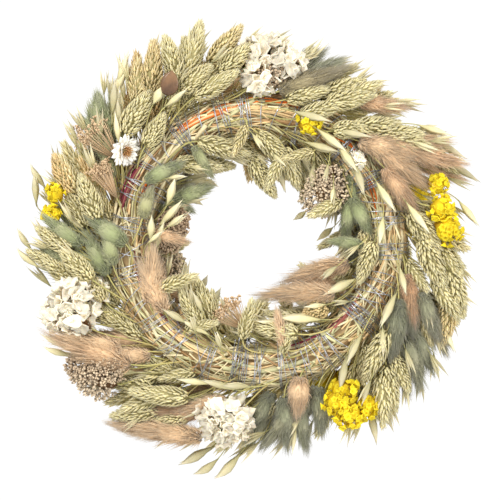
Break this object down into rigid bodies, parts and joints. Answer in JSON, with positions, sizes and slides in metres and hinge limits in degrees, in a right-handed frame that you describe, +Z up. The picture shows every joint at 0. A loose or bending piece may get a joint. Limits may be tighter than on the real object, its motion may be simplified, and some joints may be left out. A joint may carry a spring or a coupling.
{
  "type": "harvest door wreath",
  "caption": "Round door wreath of dried grasses and flowers, wired in overlapping bunches onto a straw ring, with an open centre.",
  "frame": {"origin": "where the door hook carries the wreath: the top of the central hole, against the bound ring, midway through its thickness", "axes": "+Y out of the decorated front, -Y towards the door, +Z up, +X to the right as seen from the door side"},
  "size_m": [0.3346, 0.0728, 0.3362],
  "materials": {
    "steel": "drawn steel wire, dull",
    "straw": "bleached straw, matt with a faint sheen",
    "galvanized_wire": "thin galvanized florist wire",
    "dark_wire": "annealed blue-grey florist wire",
    "canary_grass": "dried green seed heads, papery",
    "beige_bunny_tail": "soft dyed grass heads, peach and tan",
    "green_bunny_tail": "soft dyed grass heads, jade and sage",
    "grey_bunny_tail": "soft dyed grass heads, olive and grey",
    "oat": "dried oat husks, papery and pale",
    "white_statice": "papery cream petals",
    "yellow_statice": "papery bright yellow petals",
    "brown_umbel": "dried umbels on fine rays",
    "brown_yarrow": "dried clusters of small brown florets",
    "strawflower": "papery white bracts round an orange-brown centre",
    "seed_pod": "smooth brown seed pod"
  },
  "bodies": {
    "root": {"hoop": "steel", "straw_ring": "straw", "binding_wire": "galvanized_wire", "tie_wire_1": "dark_wire", "tie_wire_2": "dark_wire", "tie_wire_3": "dark_wire", "tie_wire_4": "dark_wire", "grey_bunny_tail_outer_00": "grey_bunny_tail", "canary_grass_outer_02": "canary_grass", "canary_grass_outer_04": "canary_grass", "beige_bunny_tail_outer_05": "beige_bunny_tail", "yellow_statice_outer_07": "yellow_statice", "canary_grass_outer_08": "canary_grass", "canary_grass_outer_10": "canary_grass", "grey_bunny_tail_outer_11": "grey_bunny_tail", "grey_bunny_tail_outer_12": "grey_bunny_tail", "canary_grass_outer_14": "canary_grass", "yellow_statice_outer_15": "yellow_statice", "grey_bunny_tail_outer_17": "grey_bunny_tail", "oat_outer_18": "oat", "white_statice_outer_19": "white_statice", "beige_bunny_tail_outer_21": "beige_bunny_tail", "canary_grass_outer_22": "canary_grass", "brown_umbel_outer_23": "brown_umbel", "beige_bunny_tail_outer_24": "beige_bunny_tail", "white_statice_outer_26": "white_statice", "canary_grass_outer_27": "canary_grass", "green_bunny_tail_outer_28": "green_bunny_tail", "yellow_statice_outer_29": "yellow_statice", "canary_grass_outer_30": "canary_grass", "brown_umbel_outer_31": "brown_umbel", "green_bunny_tail_outer_32": "green_bunny_tail", "oat_outer_33": "oat", "canary_grass_outer_34": "canary_grass", "canary_grass_outer_36": "canary_grass", "white_statice_outer_38": "white_statice", "canary_grass_inner_00": "canary_grass", "brown_yarrow_inner_02": "brown_yarrow", "green_bunny_tail_inner_05": "green_bunny_tail", "canary_grass_inner_08": "canary_grass", "beige_bunny_tail_inner_10": "beige_bunny_tail", "canary_grass_inner_12": "canary_grass", "canary_grass_inner_15": "canary_grass", "brown_umbel_inner_18": "brown_umbel", "canary_grass_inner_21": "canary_grass", "beige_bunny_tail_inner_25": "beige_bunny_tail", "brown_yarrow_inner_28": "brown_yarrow", "green_bunny_tail_inner_31": "green_bunny_tail", "canary_grass_inner_34": "canary_grass", "canary_grass_inner_36": "canary_grass", "canary_grass_face_00": "canary_grass", "white_statice_face_04": "white_statice", "beige_bunny_tail_face_08": "beige_bunny_tail", "canary_grass_face_12": "canary_grass", "canary_grass_face_17": "canary_grass", "yellow_statice_face_22": "yellow_statice", "green_bunny_tail_face_27": "green_bunny_tail", "white_statice_face_31": "white_statice", "strawflower_back_33": "strawflower", "seed_pod_back_37": "seed_pod"}
  },
  "joints": []
}
